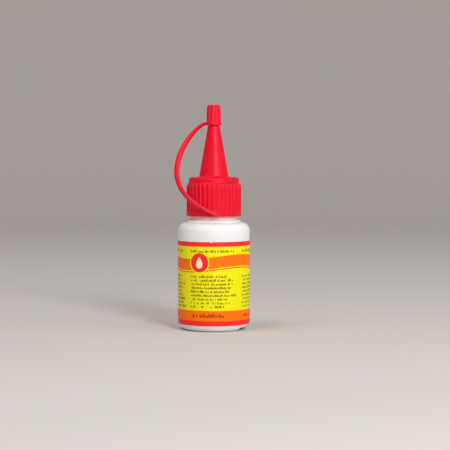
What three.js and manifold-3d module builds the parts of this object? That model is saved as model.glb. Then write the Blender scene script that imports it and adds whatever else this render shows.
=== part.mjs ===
// Small squeeze bottle of glue: a blow-moulded bottle in a wrap-around label, closed by a moulded
// screw cap with a cone nozzle. A fluted tip cap plugs the nozzle and hangs on the cap by a strap.
// Millimetres, +Z up, origin on the bottle's axis in the plane that its foot stands on.
import * as THREE from "three";
import { mergeVertices } from "three/addons/utils/BufferGeometryUtils.js";
import Module from "manifold-3d";

const wasm = await Module();
wasm.setup();

// Fits and facets
const FIT_GAP = 0.3;
const EDGE_RADIUS = 0.3;
const MERGE_TOLERANCE = 1e-4;
const ROUND_SEGMENTS = 60;
const ARC_STEPS = 2;

// Bottle body
const BODY_DIAMETER = 31.8;
const BODY_HEIGHT = 47.7;
const BODY_WALL = 1.0;
const FLOOR_THICKNESS = 2.2;
const HEEL_RADIUS = 4.0;
const SHOULDER_RADIUS = 3.6;
const FOOT_WIDTH = 3.2;
const PUSH_UP = 0.7;
const PINCH_GROOVE_WIDTH = 8.4;
const PINCH_GROOVE_DEPTH = 1.4;
const PINCH_GROOVE_SLOPE = 0.5;
const PARTING_CLOCKING = THREE.MathUtils.degToRad(-3);

// Bottle neck, with a step at its foot that stops the glue from running down
const STEP_DIAMETER = 23.7;
const STEP_HEIGHT = 1.3;
const STEP_FALL = 0.4;
const NECK_ROOT_DIAMETER = 20.4;
const NECK_ROOT_HEIGHT = 2.8;
const NECK_DIAMETER = 18.8;
const NECK_HEIGHT = 13.2;
const NECK_WALL = 1.1;

// Label
const LABEL_THICKNESS = 0.12;
const LABEL_GLUE_LINE = 0.06;
const LABEL_HEEL_LAP = 1.3;
const LABEL_SHOULDER_MARGIN = 4.3;
const LABEL_SEAM_GAP = 1.6;
const LABEL_SEAM_CLOCKING = Math.PI;

// Glue, filled to just under the shoulder
const FILL_SHOULDER_MARGIN = 1.5;

// Seal ring between the bottle's mouth and the cap
const SEAL_THICKNESS = 1.0;
const SEAL_MOUTH_MARGIN = 0.4;

// Screw cap: ribbed skirt, collar and cone nozzle
const SKIRT_DEPTH = 13.3;
const SKIRT_CLEARANCE = 0.4;
const SKIRT_WALL = 1.05;
const RIM_BAND_HEIGHT = 2.0;
const RIM_BAND_PROUD = 0.08;
const RIB_COUNT = 36;
const RIB_DEPTH = 0.5;
const RIB_CREST_WIDTH = 0.45;
const RIB_FLANK_WIDTH = 0.25;
const RIB_TOP_MARGIN = 0.85;
const SHOULDER_SLOPE_HEIGHT = 0.7;
const COLLAR_HEIGHT = 2.35;
const COLLAR_WALL = 1.8;
const COLLAR_DRAFT = 0.2;
const COLLAR_EDGE_RADIUS = 1.2;
const COLLAR_LEDGE = 0.9;
const NOZZLE_BASE_DIAMETER = 13.2;
const NOZZLE_TIP_DIAMETER = 5.3;
const NOZZLE_HEIGHT = 22.8;
const NOZZLE_WALL = 1.2;
const NOZZLE_FILLET = 1.0;
const SPIGOT_DIAMETER = 3.8;
const SPIGOT_HEIGHT = 7.1;
const ORIFICE_DIAMETER = 1.8;
const CAP_CLOCKING = THREE.MathUtils.degToRad(20);

// Tip cap
const TIP_GAP = 0.3;
const TIP_WALL = 1.0;
const TIP_CROWN = 1.9;
const TIP_BAND_HEIGHT = 1.3;
const TIP_BAND_PROUD = 0.1;
const TIP_TAPER = 0.2;
const TIP_TAPER_HEIGHT = 4.0;
const TIP_FLUTE_COUNT = 10;
const TIP_FLUTE_DEPTH = 0.35;
const TIP_CREST_WIDTH = 0.9;
const TIP_FLANK_WIDTH = 0.25;
const PLUG_REACH = 2.5;
const TIP_CLOCKING = THREE.MathUtils.degToRad(9);

// Strap between the cap's rim band and the tip cap's band
const STRAP_WIDTH = 2.6;
const STRAP_THICKNESS = 1.1;
const STRAP_TWIST = THREE.MathUtils.degToRad(72);
const STRAP_TIP_TILT = THREE.MathUtils.degToRad(26);
const STRAP_LUG_START = THREE.MathUtils.degToRad(26);
const STRAP_LUG_END = THREE.MathUtils.degToRad(5);
const STRAP_LUG_TOE = 0.8;
const STRAP_SIDE_PULL = 33.2;
const STRAP_BACK_PULL = 1.2;
const STRAP_RISE_PULL = 12.0;
const STRAP_TIP_PULL = 4.6;
const STRAP_STEPS = 40;
const STRAP_SIDES = 10;

// Heights and radii that follow from the sizes above
const bodyRadius = BODY_DIAMETER / 2;
const shoulderStart = BODY_HEIGHT - SHOULDER_RADIUS;
const stepTop = BODY_HEIGHT + STEP_HEIGHT;
const mouthHeight = stepTop + NECK_HEIGHT;
const neckBoreRadius = NECK_DIAMETER / 2 - NECK_WALL;
const sealHeight = mouthHeight + FIT_GAP;
const capRimHeight = sealHeight + SEAL_THICKNESS + FIT_GAP - SKIRT_DEPTH;
const skirtBoreRadius = NECK_ROOT_DIAMETER / 2 + SKIRT_CLEARANCE;
const skirtRootRadius = skirtBoreRadius + SKIRT_WALL;
const ribCrestRadius = skirtRootRadius + RIB_DEPTH;
const rimBandRadius = ribCrestRadius + RIM_BAND_PROUD;
const ribTop = SKIRT_DEPTH + RIB_TOP_MARGIN;
const collarBase = ribTop + SHOULDER_SLOPE_HEIGHT;
const collarTop = collarBase + COLLAR_HEIGHT;
const nozzleTop = collarTop + NOZZLE_HEIGHT;
const spigotTop = nozzleTop + SPIGOT_HEIGHT;
const tipRim = nozzleTop + TIP_GAP;
const socketRadius = SPIGOT_DIAMETER / 2 + FIT_GAP;
const socketDepth = spigotTop + FIT_GAP - tipRim;
const tipHeight = socketDepth + TIP_CROWN;
const tipCrestRadius = socketRadius + TIP_WALL;
const tipRootRadius = tipCrestRadius - TIP_FLUTE_DEPTH;
const tipBandRadius = tipCrestRadius + TIP_BAND_PROUD;

// Solid of revolution: a profile of radius against height, turned about +Z.
function revolve(profile, segments) {
  return new THREE.LatheGeometry(profile.getPoints(ARC_STEPS), segments).rotateX(Math.PI / 2);
}

function toSolid(geometry) {
  const bare = geometry.clone();
  bare.deleteAttribute("normal");
  bare.deleteAttribute("uv");
  const merged = mergeVertices(bare, MERGE_TOLERANCE);
  return new wasm.Manifold(
    new wasm.Mesh({
      numProp: 3,
      vertProperties: merged.attributes.position.array,
      triVerts: new Uint32Array(merged.index.array),
    }),
  );
}

function toGeometry(solid) {
  const { vertProperties, triVerts } = solid.getMesh();
  return new THREE.BufferGeometry()
    .setAttribute("position", new THREE.BufferAttribute(vertProperties, 3))
    .setIndex(new THREE.BufferAttribute(triVerts, 1));
}

// Outside from the push-up to the mouth, then down the bore to the floor.
function bottleProfile() {
  const footOuter = bodyRadius - HEEL_RADIUS;
  const footInner = footOuter - FOOT_WIDTH;
  const stepRadius = STEP_DIAMETER / 2;
  const neckRootRadius = NECK_ROOT_DIAMETER / 2;
  const neckRootTop = stepTop + NECK_ROOT_HEIGHT;
  const neckRadius = NECK_DIAMETER / 2;
  const rootBoreRadius = neckRootRadius - NECK_WALL;
  const shoulderCentre = bodyRadius - SHOULDER_RADIUS;
  const innerShoulder = SHOULDER_RADIUS - BODY_WALL;
  const innerHeel = HEEL_RADIUS - BODY_WALL;
  const innerHeelCentre = bodyRadius - BODY_WALL - innerHeel;
  const path = new THREE.Path();
  path.moveTo(0, PUSH_UP);
  path.lineTo(footInner - PUSH_UP, PUSH_UP);
  path.lineTo(footInner, 0);
  path.absarc(footOuter, HEEL_RADIUS, HEEL_RADIUS, -Math.PI / 2, 0, false);
  path.absarc(shoulderCentre, shoulderStart, SHOULDER_RADIUS, 0, Math.PI / 2, false);
  path.lineTo(stepRadius, BODY_HEIGHT);
  path.absarc(
    stepRadius - EDGE_RADIUS,
    stepTop - STEP_FALL - EDGE_RADIUS,
    EDGE_RADIUS,
    0,
    Math.PI / 2,
    false,
  );
  path.lineTo(neckRootRadius, stepTop);
  path.lineTo(neckRootRadius, neckRootTop);
  path.lineTo(neckRadius, neckRootTop + neckRootRadius - neckRadius);
  path.lineTo(neckRadius, mouthHeight - EDGE_RADIUS);
  path.lineTo(neckRadius - EDGE_RADIUS, mouthHeight);
  path.lineTo(neckBoreRadius, mouthHeight);
  path.lineTo(neckBoreRadius, neckRootTop + neckRootRadius - neckRadius);
  path.lineTo(rootBoreRadius, neckRootTop);
  path.lineTo(rootBoreRadius, BODY_HEIGHT - BODY_WALL);
  path.absarc(shoulderCentre, shoulderStart, innerShoulder, Math.PI / 2, 0, true);
  path.absarc(innerHeelCentre, FLOOR_THICKNESS + innerHeel, innerHeel, 0, -Math.PI / 2, true);
  path.lineTo(0, FLOOR_THICKNESS);
  return path;
}

// Wide, flat groove that the mould's pinch-off leaves across the base, along +X.
function pinchGroove() {
  const footHalf = PINCH_GROOVE_WIDTH / 2;
  const roofHalf = footHalf - PINCH_GROOVE_SLOPE;
  const section = new THREE.Shape();
  section.moveTo(-footHalf, -PINCH_GROOVE_DEPTH);
  section.lineTo(footHalf, -PINCH_GROOVE_DEPTH);
  section.lineTo(footHalf, 0);
  section.lineTo(roofHalf, PINCH_GROOVE_DEPTH);
  section.lineTo(-roofHalf, PINCH_GROOVE_DEPTH);
  section.lineTo(-footHalf, 0);
  const length = BODY_DIAMETER + PINCH_GROOVE_WIDTH;
  return new THREE.ExtrudeGeometry(section, { depth: length, bevelEnabled: false })
    .translate(0, 0, -length / 2)
    .rotateX(Math.PI / 2)
    .rotateZ(Math.PI / 2);
}

function bottleGeometry() {
  const shell = toSolid(revolve(bottleProfile(), ROUND_SEGMENTS));
  return toGeometry(shell.subtract(toSolid(pinchGroove())));
}

// Printed film wrapped round the straight side, with a narrow gap where its ends meet.
function labelGeometry() {
  const inner = bodyRadius + LABEL_GLUE_LINE;
  const outer = inner + LABEL_THICKNESS;
  const bottom = HEEL_RADIUS - LABEL_HEEL_LAP;
  const top = shoulderStart - LABEL_SHOULDER_MARGIN;
  const seam = LABEL_SEAM_GAP / BODY_DIAMETER;
  const section = new THREE.Shape();
  section.absarc(0, 0, outer, seam, 2 * Math.PI - seam, false);
  section.absarc(0, 0, inner, 2 * Math.PI - seam, seam, true);
  return new THREE.ExtrudeGeometry(section, {
    depth: top - bottom,
    bevelEnabled: false,
    curveSegments: ROUND_SEGMENTS / 2,
  }).translate(0, 0, bottom);
}

function glueGeometry() {
  const radius = bodyRadius - BODY_WALL - FIT_GAP;
  const heel = HEEL_RADIUS - BODY_WALL;
  const bottom = FLOOR_THICKNESS + FIT_GAP;
  const top = shoulderStart - FILL_SHOULDER_MARGIN;
  const path = new THREE.Path();
  path.moveTo(0, bottom);
  path.lineTo(radius - heel, bottom);
  path.absarc(radius - heel, bottom + heel, heel, -Math.PI / 2, 0, false);
  path.lineTo(radius, top);
  path.lineTo(0, top);
  return revolve(path, ROUND_SEGMENTS);
}

function sealGeometry() {
  const inner = neckBoreRadius + SEAL_MOUTH_MARGIN;
  const outer = skirtBoreRadius - FIT_GAP;
  const path = new THREE.Path();
  path.moveTo(inner, 0);
  path.lineTo(outer, 0);
  path.lineTo(outer, SEAL_THICKNESS);
  path.lineTo(inner, SEAL_THICKNESS);
  path.lineTo(inner, 0);
  return revolve(path, ROUND_SEGMENTS);
}

// Ring of upright ribs round the axis, standing out past `reach`, with its inner face at `hole`.
function ribRing({ count, hole, root, reach, crestWidth, flankWidth, bottom, top }) {
  const outline = new THREE.Shape();
  const crestHalf = crestWidth / 2 / reach;
  const rootHalf = crestHalf + flankWidth / reach;
  for (let i = 0; i < count; i++) {
    const middle = (i * 2 * Math.PI) / count;
    const corners = [
      [root, -rootHalf],
      [reach, -crestHalf],
      [reach, crestHalf],
      [root, rootHalf],
    ];
    corners.forEach(([radius, turn], k) => {
      const x = radius * Math.cos(middle + turn);
      const y = radius * Math.sin(middle + turn);
      if (i + k === 0) outline.moveTo(x, y);
      else outline.lineTo(x, y);
    });
  }
  outline.holes.push(new THREE.Path().absarc(0, 0, hole, 0, 2 * Math.PI, true));
  return new THREE.ExtrudeGeometry(outline, {
    depth: top - bottom,
    bevelEnabled: false,
    curveSegments: count / 2,
  }).translate(0, 0, bottom);
}

// Outside from the rim to the spigot, then down through the orifice, cone and skirt bore.
function capProfile() {
  const collarBoreRadius = neckBoreRadius + COLLAR_LEDGE;
  const collarRadius = collarBoreRadius + COLLAR_WALL;
  const nozzleBaseRadius = NOZZLE_BASE_DIAMETER / 2;
  const nozzleTipRadius = NOZZLE_TIP_DIAMETER / 2;
  const spigotRadius = SPIGOT_DIAMETER / 2;
  const orificeRadius = ORIFICE_DIAMETER / 2;
  const roof = collarTop - COLLAR_WALL;
  const path = new THREE.Path();
  path.moveTo(skirtBoreRadius + EDGE_RADIUS, 0);
  path.lineTo(rimBandRadius - EDGE_RADIUS, 0);
  path.lineTo(rimBandRadius, EDGE_RADIUS);
  path.lineTo(rimBandRadius, RIM_BAND_HEIGHT);
  path.lineTo(skirtRootRadius, RIM_BAND_HEIGHT + RIB_DEPTH);
  path.lineTo(skirtRootRadius, ribTop);
  path.lineTo(collarRadius + COLLAR_DRAFT, collarBase);
  path.absarc(
    collarRadius - COLLAR_EDGE_RADIUS,
    collarTop - COLLAR_EDGE_RADIUS,
    COLLAR_EDGE_RADIUS,
    0,
    Math.PI / 2,
    false,
  );
  path.absarc(
    nozzleBaseRadius + NOZZLE_FILLET,
    collarTop + NOZZLE_FILLET,
    NOZZLE_FILLET,
    -Math.PI / 2,
    -Math.PI,
    true,
  );
  path.lineTo(nozzleTipRadius, nozzleTop - EDGE_RADIUS);
  path.lineTo(nozzleTipRadius - EDGE_RADIUS, nozzleTop);
  path.lineTo(spigotRadius, nozzleTop);
  path.lineTo(spigotRadius, spigotTop - EDGE_RADIUS);
  path.lineTo(spigotRadius - EDGE_RADIUS, spigotTop);
  path.lineTo(orificeRadius, spigotTop);
  path.lineTo(orificeRadius, nozzleTop - NOZZLE_WALL);
  path.lineTo(nozzleTipRadius - NOZZLE_WALL, nozzleTop - 2 * NOZZLE_WALL);
  path.lineTo(nozzleBaseRadius - NOZZLE_WALL, roof);
  path.lineTo(collarBoreRadius, roof);
  path.lineTo(collarBoreRadius, SKIRT_DEPTH);
  path.lineTo(skirtBoreRadius, SKIRT_DEPTH);
  path.lineTo(skirtBoreRadius, EDGE_RADIUS);
  path.lineTo(skirtBoreRadius + EDGE_RADIUS, 0);
  return path;
}

// Outer form of the skirt's ribs: straight crests with a small bevel at the top.
function skirtRibEnvelope() {
  const path = new THREE.Path();
  path.moveTo(0, 0);
  path.lineTo(ribCrestRadius, 0);
  path.lineTo(ribCrestRadius, ribTop - EDGE_RADIUS);
  path.lineTo(ribCrestRadius - EDGE_RADIUS, ribTop);
  path.lineTo(0, ribTop);
  return path;
}

function capGeometry() {
  const segments = 2 * RIB_COUNT;
  const middleOfWall = (skirtBoreRadius + skirtRootRadius) / 2;
  const ribs = toSolid(
    ribRing({
      count: RIB_COUNT,
      hole: middleOfWall - EDGE_RADIUS,
      root: middleOfWall,
      reach: rimBandRadius,
      crestWidth: RIB_CREST_WIDTH,
      flankWidth: RIB_FLANK_WIDTH,
      bottom: RIM_BAND_HEIGHT - RIB_DEPTH,
      top: ribTop,
    }),
  ).intersect(toSolid(revolve(skirtRibEnvelope(), segments)));
  return toGeometry(toSolid(revolve(capProfile(), segments)).add(ribs));
}

// Plug pin and socket from the axis outwards, then the outside from the rim to the crown.
function tipProfile() {
  const pinRadius = ORIFICE_DIAMETER / 2 - FIT_GAP;
  const pinEnd = spigotTop - tipRim - PLUG_REACH;
  const path = new THREE.Path();
  path.moveTo(0, pinEnd);
  path.lineTo(pinRadius, pinEnd);
  path.lineTo(pinRadius, socketDepth);
  path.lineTo(socketRadius, socketDepth);
  path.lineTo(socketRadius, 0);
  path.lineTo(tipBandRadius - EDGE_RADIUS, 0);
  path.lineTo(tipBandRadius, EDGE_RADIUS);
  path.lineTo(tipBandRadius, TIP_BAND_HEIGHT);
  path.lineTo(tipRootRadius, TIP_BAND_HEIGHT + TIP_FLUTE_DEPTH);
  path.lineTo(tipRootRadius, tipHeight - TIP_TAPER_HEIGHT);
  path.lineTo(tipRootRadius - TIP_TAPER, tipHeight - EDGE_RADIUS);
  path.lineTo(tipRootRadius - TIP_TAPER - EDGE_RADIUS, tipHeight);
  path.lineTo(0, tipHeight);
  return path;
}

// Outer form of the tip cap's flutes: straight, then tapering to a bevelled top.
function tipRibEnvelope() {
  const path = new THREE.Path();
  path.moveTo(0, 0);
  path.lineTo(tipCrestRadius, 0);
  path.lineTo(tipCrestRadius, tipHeight - TIP_TAPER_HEIGHT);
  path.lineTo(tipCrestRadius - TIP_TAPER, tipHeight - EDGE_RADIUS - TIP_FLUTE_DEPTH);
  path.lineTo(tipRootRadius - TIP_TAPER - EDGE_RADIUS, tipHeight - EDGE_RADIUS);
  path.lineTo(0, tipHeight - EDGE_RADIUS);
  return path;
}

function tipGeometry() {
  const segments = 3 * TIP_FLUTE_COUNT;
  const ribs = toSolid(
    ribRing({
      count: TIP_FLUTE_COUNT,
      hole: (socketRadius + tipRootRadius - TIP_TAPER) / 2,
      root: tipRootRadius - TIP_TAPER,
      reach: tipBandRadius,
      crestWidth: TIP_CREST_WIDTH,
      flankWidth: TIP_FLANK_WIDTH,
      bottom: TIP_BAND_HEIGHT - TIP_FLUTE_DEPTH,
      top: tipHeight,
    }),
  ).intersect(toSolid(revolve(tipRibEnvelope(), segments)));
  return toGeometry(toSolid(revolve(tipProfile(), segments)).add(ribs));
}

// Strap's centreline in the cap's frame: a lug that grows out of the front of the rim band, then a
// free loop that swings out to the left and comes back to the side of the tip cap's band.
function strapPath() {
  const lugFace = rimBandRadius + FIT_GAP;
  const lugRadius = lugFace + STRAP_WIDTH / 2;
  const toeRadius = lugFace + STRAP_LUG_TOE / 2;
  const lugHeight = RIM_BAND_HEIGHT / 2;
  const onLug = (azimuth, radius) =>
    new THREE.Vector3(radius * Math.sin(azimuth), -radius * Math.cos(azimuth), lugHeight);
  const lugMiddle = (STRAP_LUG_START + STRAP_LUG_END) / 2;
  const halfLug = (STRAP_LUG_START - STRAP_LUG_END) / 2;
  const lugCornerRadius = (lugRadius + toeRadius) / 2 / Math.cos(halfLug);
  const root = onLug(STRAP_LUG_END, lugRadius);
  const end = new THREE.Vector3(-tipBandRadius - FIT_GAP, 0, tipRim + TIP_BAND_HEIGHT / 2);
  const rootHandle = new THREE.Vector3(-STRAP_SIDE_PULL, STRAP_BACK_PULL, STRAP_RISE_PULL);
  const endHandle = new THREE.Vector3(-STRAP_TIP_PULL, 0, 0);
  const path = new THREE.CurvePath();
  const lugStart = onLug(STRAP_LUG_START, toeRadius);
  const lugCorner = onLug(lugMiddle, lugCornerRadius);
  path.add(new THREE.QuadraticBezierCurve3(lugStart, lugCorner, root));
  path.add(new THREE.CubicBezierCurve3(root, rootHandle.add(root), endHandle.add(end), end));
  return path;
}

// Flat oval section swept along the path. It widens along the lug, where it lies level, turns on
// edge in the loop and comes to the tip cap half turned back.
function strapGeometry() {
  const path = strapPath();
  const lugShare = path.curves[0].getLength() / path.getLength();
  const front = new THREE.Vector3(0, -1, 0);
  const positions = [];
  const indices = [];
  for (let i = 0; i <= STRAP_STEPS; i++) {
    const u = i / STRAP_STEPS;
    const middle = path.getPoint(u);
    const along = path.getTangent(u);
    const wide = front.clone().addScaledVector(along, -front.dot(along)).normalize();
    wide.applyAxisAngle(along, -STRAP_TWIST * Math.sin(Math.PI * u) ** 2 - STRAP_TIP_TILT * u * u);
    const thick = new THREE.Vector3().crossVectors(along, wide);
    const width = THREE.MathUtils.lerp(STRAP_LUG_TOE, STRAP_WIDTH, Math.min(1, u / lugShare));
    for (let k = 0; k < STRAP_SIDES; k++) {
      const turn = (k * 2 * Math.PI) / STRAP_SIDES;
      const point = middle
        .clone()
        .addScaledVector(wide, (width / 2) * Math.cos(turn))
        .addScaledVector(thick, (STRAP_THICKNESS / 2) * Math.sin(turn));
      positions.push(point.x, point.y, point.z);
    }
  }
  for (let i = 0; i < STRAP_STEPS; i++) {
    for (let k = 0; k < STRAP_SIDES; k++) {
      const a = i * STRAP_SIDES + k;
      const b = i * STRAP_SIDES + ((k + 1) % STRAP_SIDES);
      indices.push(a, b, b + STRAP_SIDES, a, b + STRAP_SIDES, a + STRAP_SIDES);
    }
  }
  const last = STRAP_STEPS * STRAP_SIDES;
  for (let k = 1; k < STRAP_SIDES - 1; k++) {
    indices.push(0, k + 1, k, last, last + k, last + k + 1);
  }
  return new THREE.BufferGeometry()
    .setAttribute("position", new THREE.Float32BufferAttribute(positions, 3))
    .setIndex(indices);
}

function piece(name, geometry, color, roughness) {
  const material = new THREE.MeshStandardMaterial({ color, roughness, metalness: 0 });
  const mesh = new THREE.Mesh(geometry, material);
  mesh.name = name;
  return mesh;
}

// Colours and roughness
const WHITE_PLASTIC = 0xf2efec;
const LABEL_YELLOW = 0xe8e22a;
const GLUE_WHITE = 0xf4f1e4;
const SEAL_WHITE = 0xe9e6df;
const CAP_RED = 0xe01a2c;
const SATIN = 0.4;
const GLOSSY = 0.3;
const MATTE = 0.6;

const label = piece("wrap_label", labelGeometry(), LABEL_YELLOW, GLOSSY);
label.rotation.z = LABEL_SEAM_CLOCKING;

const bottle = new THREE.Group();
bottle.rotation.z = PARTING_CLOCKING;
bottle.add(
  piece("bottle_body", bottleGeometry(), WHITE_PLASTIC, SATIN),
  label,
  piece("glue_fill", glueGeometry(), GLUE_WHITE, GLOSSY),
);

const seal = piece("seal_ring", sealGeometry(), SEAL_WHITE, MATTE);
seal.position.z = sealHeight;

const tip = piece("tip_cap", tipGeometry(), CAP_RED, SATIN);
tip.position.z = tipRim;
tip.rotation.z = TIP_CLOCKING;

const closure = new THREE.Group();
closure.position.z = capRimHeight;
closure.rotation.z = CAP_CLOCKING;
closure.add(
  piece("nozzle_cap", capGeometry(), CAP_RED, SATIN),
  piece("tether_strap", strapGeometry(), CAP_RED, SATIN),
  tip,
);

const glueBottle = new THREE.Group();
glueBottle.name = "glue_bottle";
glueBottle.add(bottle, seal, closure);

export default glueBottle;
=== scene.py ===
"""Small squeeze bottle of glue with a strapped tip cap, dressed over its CAD frame."""

import math

import bpy
import numpy as np
from mathutils import Matrix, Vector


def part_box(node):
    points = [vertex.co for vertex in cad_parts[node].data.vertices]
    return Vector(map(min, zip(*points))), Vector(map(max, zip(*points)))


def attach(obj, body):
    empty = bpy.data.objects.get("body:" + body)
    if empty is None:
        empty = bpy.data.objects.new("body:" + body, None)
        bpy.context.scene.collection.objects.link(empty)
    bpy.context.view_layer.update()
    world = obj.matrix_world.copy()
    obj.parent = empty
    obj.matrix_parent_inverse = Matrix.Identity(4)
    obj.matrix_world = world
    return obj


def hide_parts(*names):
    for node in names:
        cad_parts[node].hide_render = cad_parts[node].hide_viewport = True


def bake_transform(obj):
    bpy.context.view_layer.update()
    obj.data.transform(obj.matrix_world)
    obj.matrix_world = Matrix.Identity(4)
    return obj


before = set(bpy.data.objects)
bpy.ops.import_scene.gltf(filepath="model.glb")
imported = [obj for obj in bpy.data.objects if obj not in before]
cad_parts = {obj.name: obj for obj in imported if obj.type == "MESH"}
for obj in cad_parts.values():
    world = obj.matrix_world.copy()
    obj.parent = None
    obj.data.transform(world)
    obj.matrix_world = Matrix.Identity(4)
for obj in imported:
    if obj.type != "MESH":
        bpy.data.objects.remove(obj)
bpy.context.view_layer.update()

# Bottle: white polyethylene, blown in a mould of two halves that meet on a parting line.
# The base keeps the groove where the hot tube was pinched off, and the neck carries the screw thread.
_, bottle_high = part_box("bottle_body")
MM = 0.001
ARC_STEP = math.radians(14)
BODY_RADIUS = 15.9
BODY_HEIGHT = 47.7
BODY_WALL = 1.0
HEEL_RADIUS = 4.0
SHOULDER_RADIUS = 3.6
FOOT_WIDTH = 3.2
PUSH_UP = 0.7
FLOOR_THICKNESS = 2.2
BASE_POLE_RADIUS = 0.6
STEP_RADIUS = 11.85
STEP_HEIGHT = 1.3
STEP_FALL = 0.4
NECK_ROOT_RADIUS = 10.2
NECK_ROOT_HEIGHT = 2.8
NECK_RADIUS = 9.4
NECK_WALL = 1.1
MOUTH_HEIGHT = bottle_high[2] / MM
GROOVE_WIDTH = 8.4
GROOVE_DEPTH = 1.4
GROOVE_SLOPE = 0.6
GROOVE_LIP = 0.35
GROOVE_ROUNDING = 0.12
PARTING_AZIMUTH = math.radians(-3)
PARTING_RIDGE = 0.035
PARTING_SPREAD = 0.16
PARTING_INNER_RADIUS = STEP_RADIUS - 1
THREAD_PITCH = 3.175
THREAD_DEPTH = 0.8
THREAD_START = 54.6
THREAD_BOTTOM = 53.2
THREAD_TOP = 61.2
THREAD_FADE = 1.0
THREAD_CREST = 0.3
THREAD_FLANK = 0.8
BOTTLE_COLUMNS = 320
BOTTLE_CROWDING = 0.36
PAINTED_RED_LIGHT_RISE = 0.4
PAINTED_RED_LIGHT_FADE = 1.4
NOISE_MIDDLE = (0.3, 0.7)
WHITE = (0.89, 0.865, 0.855, 1)
WHITE_CLOUDED = (0.84, 0.81, 0.80, 1)
# Painted red light: the colour of the cap's red light, painted on the neck's root.
PAINTED_RED_LIGHT = (0.93, 0.72, 0.75, 1)


def rounded_profile(corners, closed):
    """Radius and height along a polyline with rounded corners, in millimetres.

    A corner is (radius, height, fillet, step). Its fillet is an arc tangent to both sides, and
    the straight run to the next corner is cut into equal steps no longer than step.
    """
    points = np.array([corner[:2] for corner in corners], float)
    arcs = []
    for i, (_, _, fillet, _) in enumerate(corners):
        is_end = not closed and i in (0, len(corners) - 1)
        if is_end or fillet == 0:
            arcs.append(points[i : i + 1])
            continue
        back = points[i - 1] - points[i]
        ahead = points[(i + 1) % len(points)] - points[i]
        back /= np.linalg.norm(back)
        ahead /= np.linalg.norm(ahead)
        half = math.acos(np.clip(back @ ahead, -1, 1)) / 2
        middle = (back + ahead) / np.linalg.norm(back + ahead)
        centre = points[i] + middle * fillet / math.sin(half)
        start, end = (points[i] + side * fillet / math.tan(half) - centre for side in (back, ahead))
        first = math.atan2(start[1], start[0])
        sweep = (math.atan2(end[1], end[0]) - first + math.pi) % math.tau - math.pi
        turn = first + np.linspace(0, sweep, 2 + int(abs(sweep) / ARC_STEP))
        arcs.append(centre + fillet * np.stack([np.cos(turn), np.sin(turn)], 1))
    runs = []
    for i, arc in enumerate(arcs):
        runs.append(arc)
        if closed or i < len(arcs) - 1:
            far = arcs[(i + 1) % len(arcs)][0]
            count = max(1, math.ceil(np.linalg.norm(far - arc[-1]) / corners[i][3]))
            share = np.arange(1, count)[:, None] / count
            runs.append(arc[-1] + share * (far - arc[-1]))
    return np.concatenate(runs)


def smooth(low, high, value):
    """Smooth step: 0 below low, 1 above high, and 3t^2 - 2t^3 of the share t between them."""
    share = np.clip((value - low) / (high - low), 0, 1)
    return share * share * (3 - 2 * share)


def round_grid(radius, height, azimuth):
    """Points in metres of a surface round +Z, from grids of radius and height in millimetres."""
    return MM * np.stack(
        np.broadcast_arrays(radius * np.cos(azimuth), radius * np.sin(azimuth), height), -1
    )


def skin(name, grid, poles=None):
    """Mesh over a (rows, columns, 3) grid whose columns run right round and join.

    With two poles, the first and last rows close on them in fans. Without, the last row joins the
    first. Rows that rise on the outside, with columns turning anticlockwise, give outward faces.
    """
    rows, columns, _ = grid.shape
    index = np.arange(rows * columns).reshape(rows, columns)
    lower = index if poles is None else index[:-1]
    upper = np.roll(index, -1, 0) if poles is None else index[1:]
    quads = np.stack([lower, np.roll(lower, -1, 1), np.roll(upper, -1, 1), upper], -1)
    vertices = grid.reshape(-1, 3)
    faces = quads.reshape(-1, 4).tolist()
    if poles is not None:
        first, last = rows * columns, rows * columns + 1
        vertices = np.concatenate([vertices, np.array(poles, float)])
        below, above = index[0], index[-1]
        faces += np.stack([np.full(columns, first), np.roll(below, -1), below], -1).tolist()
        faces += np.stack([above, np.roll(above, -1), np.full(columns, last)], -1).tolist()
    mesh = bpy.data.meshes.new(name)
    mesh.from_pydata(vertices.tolist(), [], faces)
    mesh.shade_smooth()
    piece = bpy.data.objects.new(name, mesh)
    bpy.context.collection.objects.link(piece)
    return piece


def store(piece, name, values):
    """Keeps one number for each vertex as an attribute of the piece."""
    kept = piece.data.attributes.new(name, "FLOAT", "POINT")
    kept.data.foreach_set("value", np.ravel(values).astype(np.float32))


def thread_ridge(height, azimuth, start):
    """Height of a right-hand thread from 0 to 1: a rounded ridge along the helix that climbs one
    pitch a turn through start at azimuth 0, fading out at both ends of the threaded span."""
    turns = (height - start) / THREAD_PITCH - azimuth / math.tau
    aside = np.abs(turns - np.round(turns)) * THREAD_PITCH
    fade = smooth(THREAD_BOTTOM, THREAD_BOTTOM + THREAD_FADE, height)
    fade = fade * (1 - smooth(THREAD_TOP - THREAD_FADE, THREAD_TOP, height))
    return fade * (1 - smooth(THREAD_CREST, THREAD_FLANK, aside))


def groove_roof(across):
    """Height of the groove in the base: level over its middle, with a smooth step down each side."""
    return GROOVE_DEPTH * (1 - smooth(GROOVE_WIDTH / 2 - GROOVE_SLOPE, GROOVE_WIDTH / 2, across))


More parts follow.
